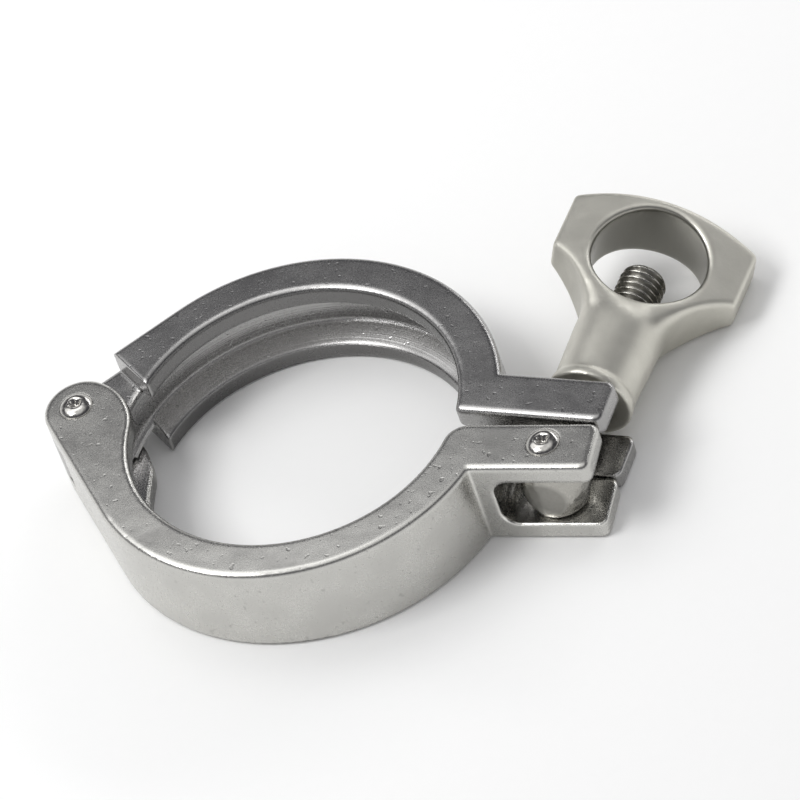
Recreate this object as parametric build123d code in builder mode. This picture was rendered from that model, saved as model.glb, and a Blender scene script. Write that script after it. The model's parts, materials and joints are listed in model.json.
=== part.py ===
"""Sanitary hinged clamp for 2 inch hygienic unions, millimetres.

Two cast half rings close round the pair of ferrule flanges on a gasketed pipe joint. They are hinged
on a pin at -X. At +X a swing bolt, pinned in the fork of the front lug, lies in the fork of the back
lug, and a closed wing nut draws the lugs together, so that the V groove wedges the ferrules shut.

Frame: the pipe's axis is Z, the origin lies on it at mid height, and the jaws part along the XZ plane.
"""
import os
from math import acos, cos, degrees, radians, sin, sqrt, tan

from build123d import *

# Ring, both jaws
RING_HEIGHT = 17.2
LIP_RADIUS = 28.2  # inner edge of both flanges
GROOVE_DEPTH = 4.4
GROOVE_MOUTH = 10.3  # height of the groove between the lips
GROOVE_FLANK = 20.0  # degrees from square, the wedge of a hygienic ferrule
RING_WALL = 3.0  # behind the groove floor
EDGE_ROUND = 0.9

# Hinge
HINGE_STAND_OFF = 3.2  # pin axis outside the ring's outer wall
HINGE_PIN_RADIUS = 2.5
EAR_WALL = 3.7
EAR_SHIFT = 0.6  # ear centre inside the pin axis
EAR_BLEND = 12.0  # radius of the curve from the ear's end into the lip
TONGUE_HEIGHT = 8.0
TONGUE_GAP = 0.3  # above and below the tongue
STEP_FROM_HINGE = 11.3  # pin axis to the back flanges' end, along the flank
KNUCKLE_GAP = 0.7  # round the tongue's end, in the front jaw's hinge slot
RUNNING_FIT = 0.06  # radial, pins in moving pieces
SEAT_FIT = 0.02  # radial, pins in the ears that hold them
RIVET_HEAD_RADIUS = 2.9
RIVET_HEAD_HEIGHT = 0.9

# Lugs
LUG_REACH = 18.2  # past the ring's outer wall
LUG_THICKNESS = 9.4
LUG_LEAN = 3.0  # degrees, each lug towards the other
LUG_GAP = 0.4  # between the lugs' tips
LUG_PARTING = 0.6  # the gap's middle, on the back jaw's side of the ring's parting plane
LUG_CORNER = 1.5
FRONT_ROOT_ROUND = 4.0
BACK_ROOT_ROUND = 1.0
FORK_HEIGHT = 10.3
FORK_DEPTH = 17.4
FORK_CORNER = 3.0

# Swing bolt, M8
BOLT_RADIUS = 4.0
BOLT_LENGTH = 45.1  # eye centre to tip
BOLT_TIP_ROUND = 1.8
BOLT_PIN_RADIUS = 2.5
BOLT_PIN_FROM_TIP = 8.7
BOLT_PIN_FROM_FACE = 3.7
BOLT_LEAN = 5.3  # degrees outward
EYE_RADIUS = 5.8
EYE_END_RADIUS = 5.4
EYE_EDGE_ROUND = 0.8
EYE_GAP = 0.15  # above and below the eye in the fork

# Wing nut
NUT_SEAT_GAP = 1.8  # nut to the back lug
NUT_LENGTH = 40.7
NUT_ROLL = 20.0  # degrees, right wing down
BARREL_RADIUS = 7.0
BARREL_SWELL = 0.5  # extra radius where the barrel meets the head
SHOULDER_LENGTH = 4.0  # below the window, where the barrel turns into the head
UNDERCUT = 29.0  # degrees, slope of the wings' undersides at their tips
COLLAR_HEIGHT = 1.6
COLLAR_STEP = 0.4
WINDOW_RADIUS = 9.7
WINDOW_RIM = 2.1  # between the window and the head's arched end
WING_SPAN = 32.4
WING_TIP_LENGTH = 11.6
WING_TIP_THICKNESS = 5.8
HEAD_THICKNESS = 12.4
HEAD_ARCH = 2.4  # rise of the arched end above the wing tips
NUT_EDGE_ROUND = 0.9
THREAD_FIT = 0.08  # radial, plain bolt in plain bore

# Worked out
HALF_HEIGHT = RING_HEIGHT / 2
FLOOR_RADIUS = LIP_RADIUS + GROOVE_DEPTH
OUTER_RADIUS = FLOOR_RADIUS + RING_WALL
HINGE_X = -(OUTER_RADIUS + HINGE_STAND_OFF)
EAR_RADIUS = HINGE_PIN_RADIUS + EAR_WALL
EAR_X = HINGE_X + EAR_SHIFT
LUG_TIP_X = OUTER_RADIUS + LUG_REACH
FRONT, BACK = -1, 1


def polar(radius, angle):
    return Vector(radius * cos(radians(angle)), radius * sin(radians(angle)))


def lug_point(side, inward, depth):
    """A point of a lug, inward from its tip and outward from the gap's own side of it."""
    lean = radians(LUG_LEAN)
    x = LUG_TIP_X - inward * cos(lean) + depth * sin(lean)
    y = LUG_GAP / 2 + inward * sin(lean) + depth * cos(lean)
    return Vector(x, side * y)


BOLT_PIN = lug_point(FRONT, BOLT_PIN_FROM_TIP, BOLT_PIN_FROM_FACE)
BOLT_AXIS = Vector(sin(radians(BOLT_LEAN)), cos(radians(BOLT_LEAN)))
NUT_SEAT = (lug_point(BACK, 0, LUG_THICKNESS) - BOLT_PIN).dot(BOLT_AXIS) + NUT_SEAT_GAP
FLANK_TURN = degrees(acos((OUTER_RADIUS - EAR_RADIUS) / -EAR_X))  # where the flank leaves the outer wall


def jaw_plan(side, root_round):
    """Half ring with its lug and rounded hinge end, seen along the pipe."""
    # curve of radius EAR_BLEND, inside tangent to the ear's end and outside tangent to the lip
    blend_x = LIP_RADIUS + EAR_BLEND
    reach = EAR_BLEND - EAR_RADIUS
    cos_turn = (blend_x**2 + EAR_X**2 - reach**2) / (2 * blend_x * -EAR_X)
    turn = degrees(acos(cos_turn))
    blend_centre = polar(blend_x, 180 + turn)
    ear_centre = Vector(EAR_X, 0)
    lip_end = polar(LIP_RADIUS, 180 + turn)
    ear_join = ear_centre + (ear_centre - blend_centre).normalized() * EAR_RADIUS
    # straight flank, tangent to the ear's end and to the outer wall
    flank_start = polar(OUTER_RADIUS, 180 + FLANK_TURN)
    flank_end = ear_centre + polar(EAR_RADIUS, 180 + FLANK_TURN)
    # the lug's faces, run in to meet the ring's walls
    inner_tip = lug_point(FRONT, 0, side * LUG_PARTING)
    outer_tip = lug_point(FRONT, 0, LUG_THICKNESS)
    inner_root = run_in(inner_tip, LIP_RADIUS)
    outer_root = run_in(outer_tip, OUTER_RADIUS)
    outer_root_angle = -Vector(1, 0).get_angle(outer_root)
    inner_root_angle = -Vector(1, 0).get_angle(inner_root)
    outer_middle = polar(OUTER_RADIUS, (outer_root_angle - 180 + FLANK_TURN) / 2)
    lip_middle = polar(LIP_RADIUS, (inner_root_angle - 180 + turn) / 2)
    with BuildSketch() as plan:
        with BuildLine():
            ThreePointArc(lip_end, lip_middle, inner_root)
            Polyline(inner_root, inner_tip, outer_tip, outer_root)
            ThreePointArc(outer_root, outer_middle, flank_start)
            flank = Line(flank_start, flank_end)
            ear = TangentArc(flank_end, ear_join, tangent=flank % 1)
            TangentArc(ear_join, lip_end, tangent=ear % 1)
        make_face()
        root = plan.vertices().sort_by_distance(inner_root)[0]
        fillet(root, radius=root_round)
        tips = plan.vertices().group_by(Axis.X)[-2:]
        fillet([v for group in tips for v in group], radius=LUG_CORNER)
    if side == FRONT:
        return plan.sketch
    return mirror(plan.sketch, about=Plane.XZ, mode=Mode.PRIVATE)


def run_in(tip, radius):
    """From a point of the front lug's tip, along the lug to the circle of this radius round the origin."""
    inward = polar(-1, LUG_LEAN)
    middle = tip.dot(inward)
    return tip - inward * (middle + sqrt(middle**2 - tip.dot(tip) + radius**2))


def groove_section():
    """V groove that wedges the ferrules, to be turned round the pipe's axis."""
    start_radius = LIP_RADIUS - GROOVE_DEPTH
    flare = GROOVE_DEPTH * tan(radians(GROOVE_FLANK))
    floor_half = GROOVE_MOUTH / 2 - flare
    start_half = GROOVE_MOUTH / 2 + flare
    with BuildSketch(Plane.XZ) as section:
        with BuildLine():
            Polyline(
                (start_radius, -start_half),
                (FLOOR_RADIUS, -floor_half),
                (FLOOR_RADIUS, floor_half),
                (start_radius, start_half),
                close=True,
            )
        make_face()
    return section.sketch


def fork_slot(side):
    """Slot through a lug, square to its faces and open at its tip."""
    lean = -side * LUG_LEAN
    middle = lug_point(side, 0, LUG_THICKNESS / 2)
    with BuildSketch(Plane(origin=middle, x_dir=polar(1, lean), z_dir=polar(1, lean - 90))) as slot:
        RectangleRounded(2 * FORK_DEPTH, FORK_HEIGHT, FORK_CORNER)
    return slot.sketch


def hinge_slot():
    """Space for the tongue's round end in the front jaw, seen along the pin."""
    reach = 2 * OUTER_RADIUS
    with BuildSketch() as slot:
        with Locations((HINGE_X, 0)):
            Circle(EAR_RADIUS + EAR_SHIFT + KNUCKLE_GAP)
        with Locations((-reach / 2, reach / 2 - KNUCKLE_GAP)):
            Rectangle(reach, reach)
    return slot.sketch


def outside_the_knuckle():
    """Everything on the front jaw's side of the hinge that isn't the tongue's round end."""
    reach = 2 * OUTER_RADIUS
    with BuildSketch() as region:
        with Locations((-reach / 2, -reach / 2)):
            Rectangle(reach, reach)
        with Locations((HINGE_X, 0)):
            Circle(EAR_RADIUS + EAR_SHIFT, mode=Mode.SUBTRACT)
    return region.sketch


def past_the_step():
    """Everything on the hinge's side of the step where the back jaw's flanges end, square to the flank."""
    reach = 4 * OUTER_RADIUS
    step = Vector(HINGE_X, 0) + polar(STEP_FROM_HINGE - reach / 2, 90 - FLANK_TURN)
    with BuildSketch() as region:
        with Locations(Location((step.X, step.Y, 0), (0, 0, 90 - FLANK_TURN))):
            Rectangle(reach, reach)
    return region.sketch


with BuildPart() as front_jaw:
    extrude(jaw_plan(FRONT, FRONT_ROOT_ROUND), amount=HALF_HEIGHT, both=True)
    fillet(front_jaw.faces().filter_by(Axis.Z).edges(), radius=EDGE_ROUND)
    revolve(groove_section(), axis=Axis.Z, mode=Mode.SUBTRACT)
    extrude(fork_slot(FRONT), amount=LUG_THICKNESS, both=True, mode=Mode.SUBTRACT)
    extrude(hinge_slot(), amount=TONGUE_HEIGHT / 2 + TONGUE_GAP, both=True, mode=Mode.SUBTRACT)
    with Locations((HINGE_X, 0)):
        Hole(HINGE_PIN_RADIUS + SEAT_FIT)
    with Locations(BOLT_PIN):
        Hole(BOLT_PIN_RADIUS + SEAT_FIT)
front_jaw.part.label = "front_jaw"

with BuildPart() as back_jaw:
    extrude(jaw_plan(BACK, BACK_ROOT_ROUND), amount=HALF_HEIGHT, both=True)
    fillet(back_jaw.faces().filter_by(Axis.Z).edges(), radius=EDGE_ROUND)
    flange_height = HALF_HEIGHT - TONGUE_HEIGHT / 2
    for top in (HALF_HEIGHT, -TONGUE_HEIGHT / 2):
        extrude(past_the_step().moved(Location((0, 0, top))), amount=-flange_height, mode=Mode.SUBTRACT)
    extrude(outside_the_knuckle(), amount=HALF_HEIGHT, both=True, mode=Mode.SUBTRACT)
    revolve(groove_section(), axis=Axis.Z, mode=Mode.SUBTRACT)
    extrude(fork_slot(BACK), amount=LUG_THICKNESS, both=True, mode=Mode.SUBTRACT)
    with Locations((HINGE_X, 0)):
        Hole(HINGE_PIN_RADIUS + RUNNING_FIT)
back_jaw.part.label = "back_jaw"


def rivet(place, radius):
    """Pin along Z with a low domed head on top and its lower end flush."""
    with BuildSketch(Plane(origin=place, x_dir=(1, 0, 0), z_dir=(0, -1, 0))) as section:
        with BuildLine():
            top = HALF_HEIGHT + RIVET_HEAD_HEIGHT
            dome = TangentArc((0, top), (RIVET_HEAD_RADIUS, HALF_HEIGHT), tangent=(1, 0))
            Polyline(dome @ 1, (radius, HALF_HEIGHT), (radius, -HALF_HEIGHT), (0, -HALF_HEIGHT), dome @ 0)
        make_face()
    return section.sketch


with BuildPart() as hinge_pin:
    revolve(rivet(Vector(HINGE_X, 0), HINGE_PIN_RADIUS), axis=Axis((HINGE_X, 0, 0), (0, 0, 1)))
hinge_pin.part.label = "hinge_pin"

with BuildPart() as bolt_pin:
    revolve(rivet(BOLT_PIN, BOLT_PIN_RADIUS), axis=Axis(BOLT_PIN, (0, 0, 1)))
bolt_pin.part.label = "bolt_pin"

# Swing bolt: a barrel shaped eye on the pin and a plain M8 shank with a rounded tip
with BuildPart() as swing_bolt:
    eye_half = FORK_HEIGHT / 2 - EYE_GAP
    with BuildSketch(Plane(origin=BOLT_PIN, x_dir=(1, 0, 0), z_dir=(0, -1, 0))):
        with BuildLine():
            ThreePointArc((EYE_END_RADIUS, -eye_half), (EYE_RADIUS, 0), (EYE_END_RADIUS, eye_half))
            Polyline((EYE_END_RADIUS, eye_half), (0, eye_half), (0, -eye_half), (EYE_END_RADIUS, -eye_half))
        make_face()
    revolve(axis=Axis(BOLT_PIN, (0, 0, 1)))
    fillet(swing_bolt.faces().filter_by(Axis.Z).edges(), radius=EYE_EDGE_ROUND)
    with BuildSketch(Plane(origin=BOLT_PIN, x_dir=(0, 0, 1), z_dir=BOLT_AXIS)):
        Circle(BOLT_RADIUS)
    extrude(amount=BOLT_LENGTH)
    fillet(swing_bolt.edges().sort_by(Axis(BOLT_PIN, BOLT_AXIS))[-1], radius=BOLT_TIP_ROUND)
    with Locations(BOLT_PIN):
        Hole(BOLT_PIN_RADIUS + RUNNING_FIT)
swing_bolt.part.label = "swing_bolt"

# Wing nut, along the bolt: X across the wings, Y along the bolt, Z through the window
roll = radians(NUT_ROLL)
across_bolt = Vector(BOLT_AXIS.Y, -BOLT_AXIS.X)
wing_axis = across_bolt * cos(roll) + Vector(0, 0, -sin(roll))
window_axis = across_bolt * sin(roll) + Vector(0, 0, cos(roll))
nut_seat = BOLT_PIN + BOLT_AXIS * NUT_SEAT
nut_plane = Plane(origin=nut_seat, x_dir=wing_axis, z_dir=window_axis)
nut_line = Axis(nut_seat, BOLT_AXIS)
window_y = NUT_LENGTH - WINDOW_RIM - WINDOW_RADIUS
tip_top = NUT_LENGTH - HEAD_ARCH
tip_low = tip_top - WING_TIP_LENGTH
waist_y = window_y - WINDOW_RADIUS - SHOULDER_LENGTH
waist_radius = BARREL_RADIUS + BARREL_SWELL
with BuildPart() as wing_nut:
    # flat outline of the head, arched at its end and hollowed under the wings
    with BuildSketch(nut_plane):
        with BuildLine():
            arch = ThreePointArc((-WING_SPAN / 2, tip_top), (0, NUT_LENGTH), (WING_SPAN / 2, tip_top))
            right = Line(arch @ 1, (WING_SPAN / 2, tip_low))
            neck = (waist_radius - NUT_EDGE_ROUND, waist_y)
            under = TangentArc(right @ 1, neck, tangent=polar(-1, UNDERCUT))
            Line(under @ 1, (-neck[0], waist_y))
            mirror(under, about=Plane.YZ)
            Line((-WING_SPAN / 2, tip_low), arch @ 0)
        make_face()
    extrude(amount=HEAD_THICKNESS, both=True)
    # thick round the window and thin at the wing tips
    with BuildSketch(Plane(origin=nut_seat, x_dir=wing_axis, z_dir=BOLT_AXIS)):
        with BuildLine():
            face = ThreePointArc(
                (-WING_SPAN / 2, WING_TIP_THICKNESS / 2),
                (0, HEAD_THICKNESS / 2),
                (WING_SPAN / 2, WING_TIP_THICKNESS / 2),
            )
            Line(face @ 0, (-WING_SPAN / 2, 0))
            Line(face @ 1, (WING_SPAN / 2, 0))
            mirror(about=Plane.XZ)
        make_face()
    extrude(amount=2 * NUT_LENGTH, mode=Mode.INTERSECT)
    with BuildSketch(nut_plane):
        with Locations((0, window_y)):
            Circle(WINDOW_RADIUS)
    extrude(amount=HEAD_THICKNESS, both=True, mode=Mode.SUBTRACT)
    fillet(wing_nut.edges().filter_by(lambda e: e.length > NUT_EDGE_ROUND), radius=NUT_EDGE_ROUND)
    # barrel with a collar at its seat, turning into the head under the window
    shoulder_y = window_y - WINDOW_RADIUS - NUT_EDGE_ROUND
    with BuildSketch(nut_plane):
        with BuildLine():
            collar_radius = BARREL_RADIUS + COLLAR_STEP
            collar = Polyline((0, 0), (collar_radius, 0), (collar_radius, COLLAR_HEIGHT))
            chamfered = Line(collar @ 1, (BARREL_RADIUS, COLLAR_HEIGHT + COLLAR_STEP))
            barrel = Line(chamfered @ 1, (waist_radius, waist_y))
            shoulder_end = (HEAD_THICKNESS / 2 - NUT_EDGE_ROUND, shoulder_y)
            TangentArc(barrel @ 1, shoulder_end, tangent=barrel % 1)
            Polyline(shoulder_end, (0, shoulder_y), (0, 0))
        make_face()
    revolve(axis=nut_line)
    with BuildSketch(Plane(origin=nut_seat, x_dir=wing_axis, z_dir=BOLT_AXIS)):
        Circle(BOLT_RADIUS + THREAD_FIT)
    extrude(amount=window_y, mode=Mode.SUBTRACT)
wing_nut.part.label = "wing_nut"

os.makedirs("parts", exist_ok=True)
for piece in (front_jaw, back_jaw, hinge_pin, bolt_pin, swing_bolt, wing_nut):
    export_step(piece.part, f"parts/{piece.part.label}.step")
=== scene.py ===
"""Sanitary hinged clamp: finishes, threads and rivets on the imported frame, in metres.

The cast jaws are the frame's own solids with a stainless finish, and the wing nut is the frame's own
with its edges softened. The swing bolt gets its rounded eye and rolled thread, the rivets their
dimpled, staked heads, and the nut its tapped thread.
"""

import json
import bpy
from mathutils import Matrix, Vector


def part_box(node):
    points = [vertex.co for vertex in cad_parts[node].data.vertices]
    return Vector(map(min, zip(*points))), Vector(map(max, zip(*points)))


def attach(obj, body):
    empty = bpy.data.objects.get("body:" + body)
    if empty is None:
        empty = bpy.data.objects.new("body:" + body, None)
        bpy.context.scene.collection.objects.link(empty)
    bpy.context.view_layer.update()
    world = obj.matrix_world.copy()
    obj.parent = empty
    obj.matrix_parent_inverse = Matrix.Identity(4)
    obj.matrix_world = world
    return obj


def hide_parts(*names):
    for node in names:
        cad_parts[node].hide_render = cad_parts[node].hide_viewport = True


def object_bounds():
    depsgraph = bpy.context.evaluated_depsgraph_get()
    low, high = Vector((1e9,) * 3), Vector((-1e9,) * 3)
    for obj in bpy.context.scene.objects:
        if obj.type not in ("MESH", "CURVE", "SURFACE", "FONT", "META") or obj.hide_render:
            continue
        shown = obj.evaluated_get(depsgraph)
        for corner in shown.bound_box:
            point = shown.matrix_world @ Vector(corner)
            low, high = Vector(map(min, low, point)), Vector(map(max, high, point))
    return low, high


bl_info = {
    "name": "Sanitary Hinged Clamp",
    "version": (1, 0, 0),
    "blender": (4, 5, 0),
    "location": "3D View > Sidebar > Clamp",
    "description": "Finishes, threads and rivets of a hinged pipe clamp",
    "category": "Add Mesh",
}

from math import cos, pi, radians, sin, tau

import bmesh
import bpy
import numpy as np
from bpy.props import FloatProperty, FloatVectorProperty, PointerProperty
from mathutils import Matrix, Quaternion, Vector

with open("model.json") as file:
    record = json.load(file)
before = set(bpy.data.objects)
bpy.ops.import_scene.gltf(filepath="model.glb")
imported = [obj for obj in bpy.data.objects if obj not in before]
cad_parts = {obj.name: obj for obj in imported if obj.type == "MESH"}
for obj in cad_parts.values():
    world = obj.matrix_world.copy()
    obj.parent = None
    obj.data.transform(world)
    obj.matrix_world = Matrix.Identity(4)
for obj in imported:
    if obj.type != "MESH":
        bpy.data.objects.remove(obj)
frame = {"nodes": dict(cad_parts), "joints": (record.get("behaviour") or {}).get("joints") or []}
bpy.context.view_layer.update()
cad_low, cad_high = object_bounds()

MM = 0.001
JOINTS = {joint["name"]: joint for joint in frame["joints"]}
UP = np.array([0.0, 0.0, 1.0])
HINGE_PIN_AT = np.array(JOINTS["jaw_hinge"]["pos_m"])
BOLT_PIN_AT = np.array(JOINTS["bolt_swing"]["pos_m"])
BOLT_AXIS = np.array(JOINTS["nut_travel"]["axis"])
BOLT_ACROSS = np.cross(BOLT_AXIS, UP)
THREAD_COLUMNS = 72
CAMERA_AZIMUTH = radians(30.4)  # the overhead panel is turned with the camera


def vertices(node):
    """A frame node's own points, one row each."""
    mesh = frame["nodes"][node].data
    points = np.empty(len(mesh.vertices) * 3)
    mesh.vertices.foreach_get("co", points)
    return points.reshape(-1, 3)


def reach(node, origin, direction):
    """Nearest and farthest distance of a frame node from origin, measured along direction."""
    along = (vertices(node) - origin) @ direction
    return along.min(), along.max()


# The bolt's tip and the nut's seat, measured along the bolt from its pin, and half the eye's height.
BOLT_LENGTH = reach("swing_bolt", BOLT_PIN_AT, BOLT_AXIS)[1]
NUT_SEAT = reach("wing_nut", BOLT_PIN_AT, BOLT_AXIS)[0]
EYE_HALF = float(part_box("swing_bolt")[1].z)


def linear(hex_colour):
    """sRGB hex to the linear red, green and blue that a shader reads."""
    channels = [int(hex_colour[i : i + 2], 16) / 255 for i in (1, 3, 5)]
    return tuple(c / 12.92 if c <= 0.04045 else ((c + 0.055) / 1.055) ** 2.4 for c in channels)


def length(name, description, default):
    """A length in metres that can be changed in the panel."""
    return FloatProperty(
        name=name, description=description, default=default, min=0, unit="LENGTH", precision=5
    )


def colour(name, description, default):
    """A colour, given as sRGB hex, that can be changed in the panel."""
    return FloatVectorProperty(
        name=name, description=description, default=linear(default), subtype="COLOR", min=0, max=1
    )


class ClampSizes(bpy.types.PropertyGroup):
    """Sizes of the pieces that are added to the frame."""

    bolt_radius: length("Bolt radius", "Crest radius of the bolt's M8 thread", 4 * MM)
    thread_pitch: length("Thread pitch", "Advance of the thread in one turn", 1.25 * MM)
    thread_depth: length("Thread depth", "Crest to root", 0.72 * MM)
    thread_fit: length("Thread fit", "Radial room between the bolt's thread and the nut's", 0.05 * MM)
    plain_shank: length("Plain shank", "From the bolt's pin to its first thread", 11 * MM)
    run_out: length("Run-out", "Length in which the thread fades into the shank", 1.5 * MM)
    tip_round: length("Tip round", "Radius of the bolt's rounded tip", 1.8 * MM)
    eye_radius: length("Eye radius", "Middle of the bolt's barrel shaped eye", 5.8 * MM)
    eye_end_radius: length("Eye end radius", "Top and bottom of the bolt's eye", 5.0 * MM)
    eye_edge: length("Eye edge", "Round on the eye's rims", 1.1 * MM)
    eye_hole: length("Eye hole", "Radius of the hole for the pin", 2.56 * MM)
    lip_radius: length("Lip radius", "Inner walls of the lips", 28.2 * MM)
    groove_mouth: length("Groove mouth", "Radius where the groove's flanks meet the lips", 29.0 * MM)
    groove_floor: length("Groove floor", "Radius just past the groove's floor", 32.9 * MM)
    groove_half_width: length("Groove half width", "From mid height to the lips", 5.2 * MM)
    nut_mesh: length("Nut mesh", "Spacing of the nut's even mesh", 0.3 * MM)
    nut_join: length("Nut join", "Height of the barrel's join with the head, above the seat", 16.5 * MM)
    nut_join_spread: length("Join spread", "How far along the nut the join is softened", 2.6 * MM)
    tapped_end: length("Tapped end", "End of the nut's thread, above the seat", 18 * MM)
    window_middle: length("Window middle", "Middle of the nut's window, above the seat", 28.9 * MM)
    window_radius: length("Window radius", "Round window in the nut's head", 9.7 * MM)
    nut_roll: FloatProperty(
        name="Nut roll", description="Right wing down", default=radians(20), subtype="ANGLE"
    )
    pin_radius: length("Pin radius", "Shank of both rivets", 2.5 * MM)
    head_radius: length("Head radius", "Rivet head, over the ears", 2.9 * MM)
    dimple_radius: length("Dimple radius", "Hollow in the rivet's head", 1.35 * MM)
    dimple_depth: length("Dimple depth", "Hollow below the head's crest", 0.95 * MM)


class ClampFinishes(bpy.types.PropertyGroup):
    """Colours of the metal, the floor and the backdrop."""

    front_jaw: colour("Front jaw", "Tumbled cast stainless steel", "#C6C5C1")
    # the back jaw is the front jaw's steel painted darker: painted shade
    back_jaw: colour("Back jaw", "Tumbled cast stainless steel, a darker cast", "#A6A5A4")
    groove: colour("Groove", "Turned stainless steel inside both jaws", "#BAB9B8")
    nut: colour("Nut", "Bead blasted cast stainless steel", "#D1CFC6")
    bolt: colour("Bolt", "Rolled stainless steel thread", "#A9A7A1")
    rivet: colour("Rivets", "Peened stainless steel wire", "#BFBDB9")
    floor: colour("Floor", "Pale matt floor", "#FBFBFA")
    backdrop: colour("Backdrop", "Studio white above the horizon", "#FFFFFF")
    ceiling: colour("Ceiling", "Dimmer part of the studio between the horizon and overhead", "#545458")


# ---------------------------------------------------------------- meshes


def grid_mesh(name, points, closed_rows=False):
    """A skin over a grid of points, one ring of columns for each row.

    Each ring closes on itself. With closed_rows the last row joins the first, as on a tube bent
    into a ring. Otherwise a fan of triangles to the end rows' middles closes both ends.
    """
    rows, columns = points.shape[:2]
    index = np.arange(rows * columns).reshape(rows, columns)
    beside = np.roll(index, -1, axis=1)
    above, above_beside = np.roll(index, -1, axis=0), np.roll(beside, -1, axis=0)
    quads = np.stack([index, beside, above_beside, above], axis=-1)
    flat = points.reshape(-1, 3)
    if closed_rows:
        faces = quads.reshape(-1, 4).tolist()
    else:
        faces = quads[:-1].reshape(-1, 4).tolist()
        flat = np.vstack([flat, points[0].mean(axis=0), points[-1].mean(axis=0)])
        start, end = np.full(columns, rows * columns), np.full(columns, rows * columns + 1)
        faces += np.stack([beside[0], index[0], start], axis=-1).tolist()
        faces += np.stack([index[-1], beside[-1], end], axis=-1).tolist()
    mesh = bpy.data.meshes.new(name)
    mesh.from_pydata(flat.tolist(), [], faces)
    return mesh


def joined(name, shells):
    """One mesh from closed shells, each with its faces turned outwards and shaded smooth."""
    whole = bmesh.new()
    for shell in shells:
        part = bmesh.new()
        part.from_mesh(shell)
        bmesh.ops.recalc_face_normals(part, faces=part.faces)
        part.to_mesh(shell)
        part.free()
        whole.from_mesh(shell)
    mesh = bpy.data.meshes.new(name)
    whole.to_mesh(mesh)
    whole.free()
    mesh.polygons.foreach_set("use_smooth", [True] * len(mesh.polygons))
    return mesh


def new_piece(name, shells, body, slot, material, *replaced):
    """Links the piece, gives it its material and makes it ride on a body of the frame."""
    piece = bpy.data.objects.new(name, joined(name, shells))
    bpy.context.scene.collection.objects.link(piece)
    piece.data.materials.append(material)
    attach(piece, body)
    if replaced:
        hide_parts(*replaced)
    return piece


def turned(profile, origin, axis, across, columns):
    """A profile of (radius, height) pairs turned round axis, one row for each pair."""
    radius, height = profile[:, :1, None], profile[:, 1:, None]
    angle = np.linspace(0, tau, columns, endpoint=False)[None, :, None]
    side = np.cross(axis, across)
    return origin + height * axis + radius * (np.cos(angle) * across + np.sin(angle) * side)


def arc(centre, radius, start, end, steps):
    """Points on a circle, from one angle to another in degrees, as (radius, height) pairs."""
    angle = np.radians(np.linspace(start, end, steps))[:, None]
    return np.array(centre) + radius * np.hstack([np.cos(angle), np.sin(angle)])


def thread_height(turns, pitches):
    """0 at the root and 1 at the crest of a 60 degree thread with flat crests and rounded roots.

    The phase is the height in pitches less the turn in whole turns. A triangle wave of the phase is
    cut flat near the crest, and its bottom is eased to a round with a square root of squares.
    """
    phase = np.abs(2 * ((pitches - turns) % 1) - 1)
    flat_crest, root_round = 0.86, 0.12
    wave = np.sqrt(phase**2 + root_round**2) - root_round
    return np.minimum(wave / (np.hypot(flat_crest, root_round) - root_round), 1)


def helix_grid(sizes, start, end):
    """Heights and turns of a thread's grid, from start to end along the bolt."""
    steps_per_pitch = 14
    rows = int((end - start) / sizes.thread_pitch * steps_per_pitch) + 1
    height = np.linspace(start, end, rows)
    turns = np.linspace(0, 1, THREAD_COLUMNS, endpoint=False)
    return np.meshgrid(height, turns, indexing="ij")


def wall(radius, height, turns):
    """Points at that radius from the bolt's axis, from its pin along it."""
    angle = tau * turns[..., None]
    outward = np.cos(angle) * BOLT_ACROSS + np.sin(angle) * UP
    return BOLT_PIN_AT + height[..., None] * BOLT_AXIS + radius[..., None] * outward


def threaded_shank(sizes):
    """The bolt's shank: radius is the crest radius less the depth between crests.

    The thread fades in over the run-out, the plain part near the eye flares into it by a decaying
    exponential, and the tip is rounded by a quarter circle that the thread can't stand out of.
    """
    inside_eye = sizes.eye_hole + 0.7 * MM
    height, turns = helix_grid(sizes, inside_eye, BOLT_LENGTH)
    cut = np.clip((height - sizes.plain_shank) / sizes.run_out, 0, 1)
    depth = sizes.thread_depth * (1 - thread_height(turns, height / sizes.thread_pitch)) * cut
    flare_rise, flare_length = 0.5 * MM, 1.2 * MM
    flare = flare_rise * np.exp(-np.clip(height - sizes.eye_radius, 0, None) / flare_length)
    flare *= np.clip((height - inside_eye) / (sizes.eye_radius - inside_eye), 0, 1)
    past = np.clip(height - (BOLT_LENGTH - sizes.tip_round), 0, sizes.tip_round)
    tip = sizes.bolt_radius - sizes.tip_round + np.sqrt(sizes.tip_round**2 - past**2)
    radius = np.minimum(sizes.bolt_radius - depth + flare, tip)
    return grid_mesh("shank", wall(radius, height, turns))


def barrel_eye(sizes):
    """The bolt's eye, turned round a straight hole.

    Its side is a shallow bulge, one less the square of the height, between two rims that quarter
    circles round off.
    """
    rim_steps, side_steps, hole_steps, columns = 8, 17, 13, 96
    rim = sizes.eye_edge
    bulge = sizes.eye_radius - sizes.eye_end_radius
    side = np.linspace(-1, 1, side_steps)[1:-1]
    outer = np.stack([sizes.eye_end_radius + bulge * (1 - side**2), side * (EYE_HALF - rim)], axis=1)
    low_rim = arc((sizes.eye_end_radius - rim, rim - EYE_HALF), rim, -90, 0, rim_steps)
    high_rim = arc((sizes.eye_end_radius - rim, EYE_HALF - rim), rim, 0, 90, rim_steps)
    down = np.linspace(EYE_HALF, -EYE_HALF, hole_steps)
    hole = np.stack([np.full(hole_steps, sizes.eye_hole), down], axis=1)
    profile = np.vstack([low_rim, outer, high_rim, hole])
    return grid_mesh("eye", turned(profile, BOLT_PIN_AT, UP, BOLT_ACROSS, columns), closed_rows=True)


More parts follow.
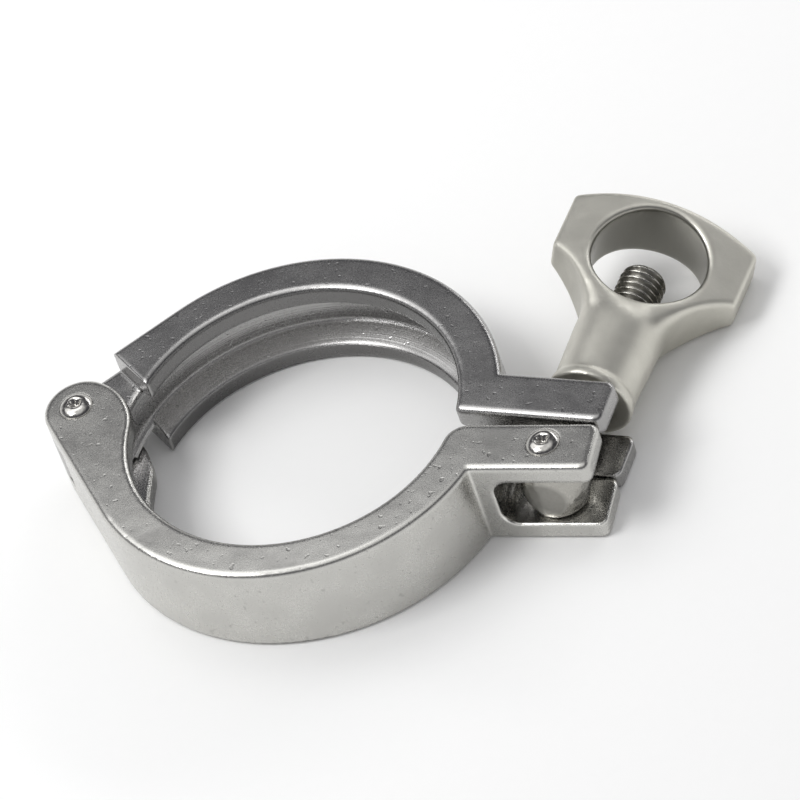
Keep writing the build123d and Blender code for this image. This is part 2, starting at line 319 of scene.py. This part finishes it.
def rivet(sizes, at):
    """A pin turned from its profile, with a staked dimple in its head.

    The head falls from a round crest to its edge by a quarter wave. The dimple sinks from the crest
    to the middle by half a cosine, and four punch marks deepen it with the cosine of four times the
    turn, strongest half way out.
    """
    low, high = reach("front_jaw", np.zeros(3), UP)
    crest_height = reach("hinge_pin", np.zeros(3), UP)[1] - high
    steps, columns, crest_fullness = 16, 64, 0.7
    edge = np.linspace(1, 0, steps)[:, None]
    rim_radius = sizes.dimple_radius + (sizes.head_radius - sizes.dimple_radius) * edge
    rim = np.hstack([rim_radius, high + crest_height * np.cos(edge * pi / 2) ** crest_fullness])
    last_ring = 0.02
    inner = np.linspace(1, last_ring, steps)[1:, None]
    sunk = sizes.dimple_depth * (0.5 + 0.5 * np.cos(inner * pi))
    hollow = np.hstack([sizes.dimple_radius * inner, high + crest_height - sunk])
    bevel, near_middle = 0.25 * MM, 0.3 * MM
    shank = np.array(
        [
            [near_middle, low],
            [sizes.pin_radius - bevel, low],
            [sizes.pin_radius, low + bevel],
            [sizes.pin_radius, high - bevel],
            [sizes.pin_radius, high],
        ]
    )
    profile = np.vstack([shank, rim, hollow])
    points = turned(profile, at, UP, np.array([1.0, 0.0, 0.0]), columns)
    turn = np.linspace(0, tau, columns, endpoint=False)[None, :]
    punches, punch_depth = 4, 0.16 * MM
    points[-len(hollow) :, :, 2] += punch_depth * np.cos(punches * turn) * np.sin(pi * inner) ** 2
    return grid_mesh("rivet", points)


def relaxed(points, edges, share, rounds):
    """Each round moves every point by its share of the way to the mean of its neighbours."""
    ends = np.concatenate([edges, edges[:, ::-1]])
    neighbours = np.bincount(ends[:, 0], minlength=len(points))[:, None]
    for _ in range(rounds):
        sums = [np.bincount(ends[:, 0], points[ends[:, 1], axis], len(points)) for axis in range(3)]
        points = points + share * (np.stack(sums, axis=1) / neighbours - points)
    return points


def softened_nut(sizes):
    """The frame's nut with the soft edges of a casting.

    Its skin is made anew on an even mesh. Then the whole is relaxed a little, and most of all where
    the barrel runs into the head, by a share that falls off as a bell curve along the bolt.
    """
    source = frame["nodes"]["wing_nut"].data.copy()
    merged = bmesh.new()
    merged.from_mesh(source)
    bmesh.ops.remove_doubles(merged, verts=merged.verts, dist=0.001 * MM)
    merged.to_mesh(source)
    merged.free()
    blank = bpy.data.objects.new("nut_blank", source)
    bpy.context.scene.collection.objects.link(blank)
    even = blank.modifiers.new("even", "REMESH")
    even.mode, even.voxel_size = "VOXEL", sizes.nut_mesh
    skin = bpy.data.meshes.new_from_object(blank.evaluated_get(bpy.context.evaluated_depsgraph_get()))
    bpy.data.objects.remove(blank)
    points = np.empty(len(skin.vertices) * 3)
    skin.vertices.foreach_get("co", points)
    points = points.reshape(-1, 3)
    edges = np.empty(len(skin.edges) * 2, dtype=int)
    skin.edges.foreach_get("vertices", edges)
    edges = edges.reshape(-1, 2)
    all_over, all_over_rounds = 0.5, 3
    at_join, at_join_rounds = 0.6, 90
    above_seat = (points - BOLT_PIN_AT) @ BOLT_AXIS - NUT_SEAT
    bell = np.exp(-(((above_seat - sizes.nut_join) / sizes.nut_join_spread) ** 2))[:, None]
    points = relaxed(points, edges, all_over, all_over_rounds)
    points = relaxed(points, edges, at_join * bell, at_join_rounds)
    skin.vertices.foreach_set("co", points.ravel())
    return skin


def tapped_sleeve(sizes):
    """The nut's thread: a closed sleeve whose inner wall follows the bolt's thread with the fit added.

    Its outer wall stays inside the nut's metal, and both mouths open out by a straight chamfer.
    """
    off_seat, backing = 0.05 * MM, 0.5 * MM
    height, turns = helix_grid(sizes, NUT_SEAT + off_seat, NUT_SEAT + sizes.tapped_end)
    depth = sizes.thread_depth * (1 - thread_height(turns, height / sizes.thread_pitch))
    from_mouth = np.minimum(height - height[0], height[-1] - height)
    chamfer = np.maximum(sizes.thread_depth - from_mouth, 0)
    radius = sizes.bolt_radius + sizes.thread_fit - np.maximum(depth - chamfer, 0)
    inner = wall(radius, height, turns)
    outer_radius = np.full((2, THREAD_COLUMNS), sizes.bolt_radius + backing)
    outer = wall(outer_radius, height[[-1, 0]], turns[[-1, 0]])
    return grid_mesh("tapped", np.concatenate([inner, outer]), closed_rows=True)


# ---------------------------------------------------------------- finishes
#
# A pattern's scale is one over its width, in the unit of its coordinates. A noise gathers round its
# middle value of one half, so each map takes only that part of it.


def add(tree, kind, sockets=None, **settings):
    """One node: its settings, then each input either linked or set to a value.

    An input is linked when it is given a socket, or another node, whose first live output it takes.
    """
    node = tree.nodes.new(kind)
    for name, value in settings.items():
        setattr(node, name, value)
    for key, value in (sockets or {}).items():
        if isinstance(value, bpy.types.Node):
            value = next(output for output in value.outputs if output.enabled)
        if isinstance(value, bpy.types.NodeSocket):
            tree.links.new(value, node.inputs[key])
        else:
            node.inputs[key].default_value = value
    return node


def empty_material(name):
    """A named material with nothing in its tree."""
    material = bpy.data.materials.new(name)
    material.use_nodes = True
    material.node_tree.nodes.clear()
    return material, material.node_tree


def place_in_mm(tree):
    """Object coordinates, in millimetres."""
    place = add(tree, "ShaderNodeTexCoord").outputs["Object"]
    return add(tree, "ShaderNodeVectorMath", {0: place, "Scale": 1 / MM}, operation="SCALE")


def shade(rgb, amount=1.0):
    """The same colour, darker or paler, as the four numbers of a colour socket."""
    return tuple(c * amount for c in rgb) + (1.0,)


def edges_and_normal(tree, radius):
    """How far a point is into a worn edge, where the finishes also paint a highlight, and the normal
    that rounds the edge off.

    The two normals agree on a flat face, and the cosine between them falls across an edge.
    """
    rounded = add(tree, "ShaderNodeBevel", {"Radius": radius}, samples=8)
    true = add(tree, "ShaderNodeNewGeometry").outputs["True Normal"]
    match = add(tree, "ShaderNodeVectorMath", {0: rounded, 1: true}, operation="DOT_PRODUCT")
    edge = add(tree, "ShaderNodeMapRange", {"Value": match, "From Min": 0.99, "From Max": 0.86})
    return edge, rounded


def inside_ring(tree, place, sizes):
    """1 on the groove's flanks and floor, 1 on the lips' walls, and the place across the ring.

    The place across the ring is the distance from its axis and the height off its middle.
    """
    flat = add(tree, "ShaderNodeVectorMath", {0: place, 1: (1, 1, 0)}, operation="MULTIPLY")
    radius = add(tree, "ShaderNodeVectorMath", {0: flat}, operation="LENGTH")
    z = add(tree, "ShaderNodeSeparateXYZ", {0: place}).outputs[2]
    height = add(tree, "ShaderNodeMath", {0: z}, operation="ABSOLUTE")
    mouth, floor = sizes.groove_mouth / MM, sizes.groove_floor / MM
    half, lip, fade = sizes.groove_half_width / MM, sizes.lip_radius / MM, 0.3
    falls, rises = {"To Min": 1.0, "To Max": 0.0}, {"To Min": 0.0, "To Max": 1.0}
    low = {"Value": height, "From Min": half - fade, "From Max": half, **falls}
    near = {"Value": radius, "From Min": floor, "From Max": floor + fade, **falls}
    past_lip = {"Value": radius, "From Min": mouth - fade, "From Max": mouth, **rises}
    inside = add(tree, "ShaderNodeMapRange", low)
    for limit in (near, past_lip):
        mask = add(tree, "ShaderNodeMapRange", limit)
        inside = add(tree, "ShaderNodeMath", {0: inside, 1: mask}, operation="MULTIPLY")
    at_lip = {"Value": radius, "From Min": lip + 0.05, "From Max": lip + 0.4, **falls}
    on_lip = add(tree, "ShaderNodeMapRange", at_lip)
    return inside, on_lip, add(tree, "ShaderNodeCombineXYZ", {0: radius, 2: height})


def tumbled_cast_steel(name, steel, turned_tone, sizes):
    """Investment cast 304 stainless steel, tumbled in ceramic stone, with a turned groove.

    The eye gets a grey satin with a soft cloud a few millimetres wide, a grain of a third of a
    millimetre, a few shallow casting pits, and smoother edges where the stones rub most, painted
    paler as a painted highlight. The groove is brighter, with the fine circles of a lathe tool, drawn
    at twice their real spacing. The lips' walls are painted darker, a painted shade.
    """
    edge_round = 1.0 * MM
    material, tree = empty_material(name)
    place = place_in_mm(tree)
    groove, painted_lip_shade, across_rings = inside_ring(tree, place, sizes)
    edge, rounded = edges_and_normal(tree, edge_round)
    cloud_width, grain_width, pit_spacing, ring_spacing = 7.0, 0.32, 1.1, 0.3
    mottle = add(tree, "ShaderNodeTexNoise", {"Vector": place, "Scale": 1 / cloud_width, "Detail": 2.0})
    grain = add(tree, "ShaderNodeTexNoise", {"Vector": place, "Scale": 1 / grain_width, "Detail": 3.0})
    pits = add(tree, "ShaderNodeTexNoise", {"Vector": place, "Scale": 1 / pit_spacing, "Detail": 1.0})
    rings = add(
        tree, "ShaderNodeTexNoise", {"Vector": across_rings, "Scale": 1 / ring_spacing, "Detail": 1.0}
    )
    cloud = add(tree, "ShaderNodeMapRange", {"Value": mottle, "From Min": 0.35, "From Max": 0.65})
    pitted = add(tree, "ShaderNodeMapRange", {"Value": pits, "From Min": 0.68, "From Max": 0.76})
    fine = add(tree, "ShaderNodeMapRange", {"Value": grain, "From Min": 0.3, "From Max": 0.7})

    tone = shade(steel, 0.96)
    layers = (
        (cloud, shade(steel, 1.04)),
        (pitted, shade(steel, 0.82)),
        (groove, shade(turned_tone)),
        # the lips' walls at half the tone: painted shade
        (painted_lip_shade, shade(steel, 0.5)),
        # the edges a third paler: a painted highlight over their real, smoother polish
        (edge, shade(steel, 1.35)),
    )
    for mask, layer in layers:
        tone = add(tree, "ShaderNodeMix", {"Factor": mask, "A": tone, "B": layer}, data_type="RGBA")

    grained = {"Value": grain, "From Min": 0.3, "From Max": 0.7, "To Min": 0.23, "To Max": 0.29}
    clouded = {"Value": mottle, "From Min": 0.3, "From Max": 0.7, "To Min": -0.02, "To Max": 0.02}
    satin = add(tree, "ShaderNodeMapRange", grained)
    uneven = add(tree, "ShaderNodeMapRange", clouded)
    rough = add(tree, "ShaderNodeMath", {0: satin, 1: uneven}, operation="ADD")
    rough = add(tree, "ShaderNodeMix", {"Factor": edge, "A": rough, "B": 0.16})

    grain_strength = 0.25
    cast_skin = add(
        tree, "ShaderNodeMath", {0: grain_strength, 1: groove}, operation="SUBTRACT", use_clamp=True
    )
    normal = rounded
    reliefs = (
        (fine, cast_skin, 0.008 * MM, False),
        (mottle, 0.5, 0.12 * MM, False),
        (pitted, 0.6, 0.03 * MM, True),
        (rings, groove, 0.02 * MM, False),
    )
    for height, strength, depth, sunk in reliefs:
        relief = {"Height": height, "Strength": strength, "Distance": depth, "Normal": normal}
        normal = add(tree, "ShaderNodeBump", relief, invert=sunk)
    surface = {"Base Color": tone, "Metallic": 1.0, "Roughness": rough, "Normal": normal}
    steel_shader = add(tree, "ShaderNodeBsdfPrincipled", surface)
    add(tree, "ShaderNodeOutputMaterial", {"Surface": steel_shader})
    return material


def blasted_cast_steel(name, steel, sizes):
    """Investment cast stainless steel, bead blasted to an even satin and softened at its edges.

    The beads leave pits about a quarter of a millimetre wide, drawn a little coarser than they are so
    that they show. Handling has polished the edges, which are also painted paler as a painted
    highlight. The beads strike the window's wall at a slant, so it keeps a smoother skin; its darker
    tone is painted shade.
    """
    edge_round = 0.6 * MM
    material, tree = empty_material(name)
    place = place_in_mm(tree)
    edge, rounded = edges_and_normal(tree, edge_round)
    pit_width, cloud_width = 0.35, 6.0
    pits = add(tree, "ShaderNodeTexNoise", {"Vector": place, "Scale": 1 / pit_width, "Detail": 3.0})
    mottle = add(tree, "ShaderNodeTexNoise", {"Vector": place, "Scale": 1 / cloud_width, "Detail": 3.0})
    cloud = add(tree, "ShaderNodeMapRange", {"Value": mottle, "From Min": 0.35, "From Max": 0.65})

    window_at = (BOLT_PIN_AT + (NUT_SEAT + sizes.window_middle) * BOLT_AXIS) / MM
    window_axis = sin(sizes.nut_roll) * BOLT_ACROSS + cos(sizes.nut_roll) * UP
    window = sizes.window_radius / MM
    off = add(tree, "ShaderNodeVectorMath", {0: place, 1: window_at}, operation="SUBTRACT")
    off = add(tree, "ShaderNodeVectorMath", {0: off, 1: window_axis}, operation="CROSS_PRODUCT")
    off = add(tree, "ShaderNodeVectorMath", {0: off}, operation="LENGTH")
    near, far = window + 0.1, window + 0.7
    in_window = add(
        tree,
        "ShaderNodeMapRange",
        {"Value": off, "From Min": near, "From Max": far, "To Min": 1.0, "To Max": 0.0},
    )

    tone = shade(steel, 0.94)
    # the window's wall at 0.55 is painted shade, and the edges at 1.2 a painted highlight
    for mask, amount in ((cloud, 1.05), (in_window, 0.55), (edge, 1.2)):
        layer = {"Factor": mask, "A": tone, "B": shade(steel, amount)}
        tone = add(tree, "ShaderNodeMix", layer, data_type="RGBA")

    blasted = {"Value": pits, "From Min": 0.3, "From Max": 0.7, "To Min": 0.4, "To Max": 0.5}
    rough = add(tree, "ShaderNodeMapRange", blasted)
    for mask, smoother in ((in_window, 0.3), (edge, 0.24)):
        rough = add(tree, "ShaderNodeMix", {"Factor": mask, "A": rough, "B": smoother})

    normal = rounded
    for height, strength, depth in ((pits, 0.3, 0.03 * MM), (mottle, 0.5, 0.15 * MM)):
        relief = {"Height": height, "Strength": strength, "Distance": depth, "Normal": normal}
        normal = add(tree, "ShaderNodeBump", relief)
    surface = {"Base Color": tone, "Metallic": 1.0, "Roughness": rough, "Normal": normal}
    steel_shader = add(tree, "ShaderNodeBsdfPrincipled", surface)
    add(tree, "ShaderNodeOutputMaterial", {"Surface": steel_shader})
    return material


def rolled_steel(name, steel, sizes):
    """Cold rolled stainless thread on a forged bolt: burnished crests over duller roots, the roots
    painted darker as painted shade.

    The forging leaves shallow dents about two millimetres wide, and use leaves scuffs of half a
    millimetre. The nut's tapped thread takes the same finish.
    """
    material, tree = empty_material(name)
    place = add(tree, "ShaderNodeTexCoord").outputs["Object"]
    to_bolt = Matrix((BOLT_ACROSS, BOLT_AXIS, UP))
    pin = to_bolt @ Vector(BOLT_PIN_AT)
    moved = {"Vector": place, "Rotation": to_bolt.to_euler(), "Location": -pin}
    along = add(tree, "ShaderNodeMapping", moved, vector_type="POINT")
    off_axis = add(tree, "ShaderNodeVectorMath", {0: along, 1: (1, 0, 1)}, operation="MULTIPLY")
    radius = add(tree, "ShaderNodeVectorMath", {0: off_axis}, operation="LENGTH")
    root = sizes.bolt_radius - sizes.thread_depth
    crest = add(
        tree, "ShaderNodeMapRange", {"Value": radius, "From Min": root, "From Max": sizes.bolt_radius}
    )
    scuff_width, dent_width = 0.6 * MM, 1.8 * MM
    scuffs = add(tree, "ShaderNodeTexNoise", {"Vector": place, "Scale": 1 / scuff_width, "Detail": 4.0})
    dents = add(tree, "ShaderNodeTexNoise", {"Vector": place, "Scale": 1 / dent_width, "Detail": 1.0})

    # roots at 0.7 of the steel, crests at 1.05: painted shade in the thread's hollows
    tone = {"Factor": crest, "A": shade(steel, 0.7), "B": shade(steel, 1.05)}
    dulled = add(tree, "ShaderNodeMapRange", {"Value": crest, "To Min": 0.42, "To Max": 0.24})
    scuffed = {"Value": scuffs, "From Min": 0.3, "From Max": 0.7, "To Min": -0.05, "To Max": 0.08}
    marked = add(tree, "ShaderNodeMapRange", scuffed)
    worn = add(tree, "ShaderNodeBump", {"Height": scuffs, "Strength": 0.3, "Distance": 0.03 * MM})
    forged = {"Height": dents, "Strength": 0.5, "Distance": 0.45 * MM, "Normal": worn}
    surface = {
        "Base Color": add(tree, "ShaderNodeMix", tone, data_type="RGBA"),
        "Metallic": 1.0,
        "Roughness": add(tree, "ShaderNodeMath", {0: dulled, 1: marked}, operation="ADD"),
        "Normal": add(tree, "ShaderNodeBump", forged),
    }
    steel_shader = add(tree, "ShaderNodeBsdfPrincipled", surface)
    add(tree, "ShaderNodeOutputMaterial", {"Surface": steel_shader})
    return material


def peened_steel(name, steel):
    """Stainless wire, peened over: hammered facets under a millimetre wide and a bright polish."""
    material, tree = empty_material(name)
    place = place_in_mm(tree)
    facet_width, scuff_width = 0.7, 0.5
    facets = {"Vector": place, "Scale": 1 / facet_width}
    blows = add(tree, "ShaderNodeTexVoronoi", facets, feature="SMOOTH_F1")
    scuffs = add(tree, "ShaderNodeTexNoise", {"Vector": place, "Scale": 1 / scuff_width, "Detail": 4.0})
    patches = add(tree, "ShaderNodeMapRange", {"Value": scuffs, "From Min": 0.35, "From Max": 0.65})
    tone = {"Factor": patches, "A": shade(steel, 0.85), "B": shade(steel, 1.1)}
    polish = {"Value": scuffs, "From Min": 0.3, "From Max": 0.7, "To Min": 0.12, "To Max": 0.26}
    hammered = {"Height": blows, "Strength": 0.35, "Distance": 0.05 * MM}
    surface = {
        "Base Color": add(tree, "ShaderNodeMix", tone, data_type="RGBA"),
        "Metallic": 1.0,
        "Roughness": add(tree, "ShaderNodeMapRange", polish),
        "Normal": add(tree, "ShaderNodeBump", hammered),
    }
    steel_shader = add(tree, "ShaderNodeBsdfPrincipled", surface)
    add(tree, "ShaderNodeOutputMaterial", {"Surface": steel_shader})
    return material


def finish_node(node, material):
    """Gives a frame node a new material in each of its slots."""
    for material_slot in frame["nodes"][node].material_slots:
        material_slot.material = material


# ---------------------------------------------------------------- operators


class CLAMP_OT_jaws(bpy.types.Operator):
    """Tumbled cast finish on both jaws, with a turned groove"""

    bl_idname = "clamp.jaws"
    bl_label = "Finish Jaws"

    def execute(self, context):
        sizes, finishes = context.scene.clamp_sizes, context.scene.clamp_finishes
        for side, steel in (("front", finishes.front_jaw), ("back", finishes.back_jaw)):
            cast = tumbled_cast_steel(f"tumbled_cast_steel_{side}", steel, finishes.groove, sizes)
            finish_node(f"{side}_jaw", cast)
        return {"FINISHED"}


class CLAMP_OT_rivets(bpy.types.Operator):
    """Hinge and bolt rivets with dimpled, staked heads"""

    bl_idname = "clamp.rivets"
    bl_label = "Add Rivets"

    def execute(self, context):
        sizes = context.scene.clamp_sizes
        steel = peened_steel("peened_steel", context.scene.clamp_finishes.rivet)
        new_piece("hinge_rivet", [rivet(sizes, HINGE_PIN_AT)], "front", "pin", steel, "hinge_pin")
        new_piece("bolt_rivet", [rivet(sizes, BOLT_PIN_AT)], "front", "pin", steel, "bolt_pin")
        return {"FINISHED"}


class CLAMP_OT_swing_bolt(bpy.types.Operator):
    """Swing bolt with its forged eye and rolled M8 thread"""

    bl_idname = "clamp.swing_bolt"
    bl_label = "Add Swing Bolt"

    def execute(self, context):
        sizes = context.scene.clamp_sizes
        steel = rolled_steel("rolled_steel", context.scene.clamp_finishes.bolt, sizes)
        shells = [threaded_shank(sizes), barrel_eye(sizes)]
        new_piece("threaded_swing_bolt", shells, "bolt", "bolt", steel, "swing_bolt")
        return {"FINISHED"}


class CLAMP_OT_wing_nut(bpy.types.Operator):
    """Wing nut with softened edges, a blasted finish and its tapped thread"""

    bl_idname = "clamp.wing_nut"
    bl_label = "Add Wing Nut"

    def execute(self, context):
        sizes = context.scene.clamp_sizes
        steel = blasted_cast_steel("blasted_cast_steel", context.scene.clamp_finishes.nut, sizes)
        new_piece("cast_wing_nut", [softened_nut(sizes)], "nut", "nut", steel, "wing_nut")
        tapped = rolled_steel("tapped_steel", context.scene.clamp_finishes.bolt, sizes)
        new_piece("nut_thread", [tapped_sleeve(sizes)], "nut", "nut", tapped)
        return {"FINISHED"}


class CLAMP_OT_stage(bpy.types.Operator):
    """Pale floor, soft studio light and the camera"""

    bl_idname = "clamp.stage"
    bl_label = "Add Stage"

    def execute(self, context):
        finishes = context.scene.clamp_finishes
        add_floor(finishes.floor)
        light_world(finishes.backdrop, finishes.ceiling)
        add_lamps()
        add_camera()
        context.scene.view_settings.view_transform = "Standard"
        return {"FINISHED"}


def add_floor(pale):
    """A matt floor under the clamp."""
    half = 2.0
    mesh = bpy.data.meshes.new("floor")
    corners = [(-half, -half), (half, -half), (half, half), (-half, half)]
    mesh.from_pydata([(x, y, cad_low.z) for x, y in corners], [], [(0, 1, 2, 3)])
    floor = bpy.data.objects.new("floor", mesh)
    bpy.context.scene.collection.objects.link(floor)
    material, tree = empty_material("matt_floor")
    fleck_width = 2.0
    paper = {"Vector": place_in_mm(tree), "Scale": 1 / fleck_width, "Detail": 2.0}
    flecks = add(tree, "ShaderNodeTexNoise", paper)
    flecked = {"Factor": flecks, "A": shade(pale, 0.985), "B": shade(pale)}
    tone = add(tree, "ShaderNodeMix", flecked, data_type="RGBA")
    matt = add(tree, "ShaderNodeBsdfDiffuse", {"Color": tone})
    add(tree, "ShaderNodeOutputMaterial", {"Surface": matt})
    mesh.materials.append(material)


def light_world(white, dim):
    """A white studio: what the lens and the metal see, and a plain level of light for the rest.

    The backdrop is white at the horizon and overhead, with a dimmer band between them.
    """
    world = bpy.data.worlds.new("studio")
    world.use_nodes = True
    tree = world.node_tree
    tree.nodes.clear()
    bpy.context.scene.world = world
    direction = add(tree, "ShaderNodeTexCoord").outputs["Generated"]
    height = add(tree, "ShaderNodeSeparateXYZ", {0: direction}).outputs[2]
    backdrop = add(tree, "ShaderNodeValToRGB", {0: height})
    # A stop's place is the sine of the angle above the horizon.
    stops = backdrop.color_ramp.elements
    stops[0].position, stops[0].color = 0.12, shade(white)
    stops[1].position, stops[1].color = 0.42, shade(dim)
    for position, rgb in ((0.8, dim), (0.94, white)):
        stops.new(position).color = shade(rgb)
    rays = add(tree, "ShaderNodeLightPath").outputs
    seen = rays["Is Camera Ray"]
    for name in ("Is Glossy Ray", "Is Transmission Ray"):
        seen = add(tree, "ShaderNodeMath", {0: seen, 1: rays[name]}, operation="MAXIMUM")
    plain_level = (0.5, 0.5, 0.51, 1)
    shown = {"Factor": seen, "A": plain_level, "B": backdrop}
    light = {"Color": add(tree, "ShaderNodeMix", shown, data_type="RGBA"), "Strength": 1.0}
    add(tree, "ShaderNodeOutputWorld", {"Surface": add(tree, "ShaderNodeBackground", light)})


def add_lamps():
    """A soft key from the upper left, a strip behind for the edges and a level panel overhead.

    The key and the strip face the clamp, and the panel faces down.
    """
    middle = (cad_low + cad_high) / 2
    # Offset from the clamp's middle, width and height in metres, and power in watts.
    lamps = {
        "key": ((-0.45, -0.3, 0.9), 0.42, 0.42, 4.6),
        "strip": ((0.3, 0.95, 0.5), 0.9, 0.12, 1.8),
        "panel": ((-0.297, 0.092, 0.42), 0.46, 0.28, 0.62),
    }
    for name, (offset, wide, tall, watts) in lamps.items():
        light = bpy.data.lights.new(name, "AREA")
        light.shape, light.size, light.size_y, light.energy = "RECTANGLE", wide, tall, watts
        lamp = bpy.data.objects.new(name, light)
        lamp.location = middle + Vector(offset)
        lamp.rotation_euler = (-Vector(offset)).to_track_quat("-Z", "Y").to_euler()
        bpy.context.scene.collection.objects.link(lamp)
    bpy.data.objects["panel"].rotation_euler = (0, 0, CAMERA_AZIMUTH)


def add_camera():
    """Looks down over the lugs, leaning to the right, with the clamp in the middle of the frame."""
    azimuth, elevation, lean = CAMERA_AZIMUTH, radians(44.3), radians(-20.4)
    distance, long_lens = 1.15, 312
    back = Vector((sin(azimuth) * cos(elevation), -cos(azimuth) * cos(elevation), sin(elevation)))
    facing = Quaternion(back, lean) @ (-back).to_track_quat("-Z", "Y")
    right, up = 3.4 * MM, 1.6 * MM
    aim = (cad_low + cad_high) / 2 + facing @ Vector((right, up, 0))
    camera = bpy.data.objects.new("camera", bpy.data.cameras.new("camera"))
    camera.data.lens = long_lens
    camera.data.clip_start, camera.data.clip_end = 0.05, 20
    camera.location = aim + back * distance
    camera.rotation_mode = "QUATERNION"
    camera.rotation_quaternion = facing
    bpy.context.scene.collection.objects.link(camera)
    bpy.context.scene.camera = camera


class CLAMP_PT_panel(bpy.types.Panel):
    """The clamp's operators, sizes and colours."""

    bl_label = "Sanitary Hinged Clamp"
    bl_idname = "CLAMP_PT_panel"
    bl_space_type = "VIEW_3D"
    bl_region_type = "UI"
    bl_category = "Clamp"

    def draw(self, context):
        for operator in OPERATORS:
            self.layout.operator(operator.bl_idname)
        for group in (context.scene.clamp_sizes, context.scene.clamp_finishes):
            box = self.layout.box()
            for name in group.bl_rna.properties.keys():
                if name not in {"rna_type", "name"}:
                    box.prop(group, name)


OPERATORS = (CLAMP_OT_jaws, CLAMP_OT_rivets, CLAMP_OT_swing_bolt, CLAMP_OT_wing_nut, CLAMP_OT_stage)
CLASSES = (ClampSizes, ClampFinishes, *OPERATORS, CLAMP_PT_panel)


def register():
    for cls in CLASSES:
        bpy.utils.register_class(cls)
    bpy.types.Scene.clamp_sizes = PointerProperty(type=ClampSizes)
    bpy.types.Scene.clamp_finishes = PointerProperty(type=ClampFinishes)


def unregister():
    del bpy.types.Scene.clamp_finishes
    del bpy.types.Scene.clamp_sizes
    for cls in reversed(CLASSES):
        bpy.utils.unregister_class(cls)


def main():
    register()
    for operator in OPERATORS:
        group, name = operator.bl_idname.split(".")
        getattr(getattr(bpy.ops, group), name)()


if __name__ == "__main__":
    main()
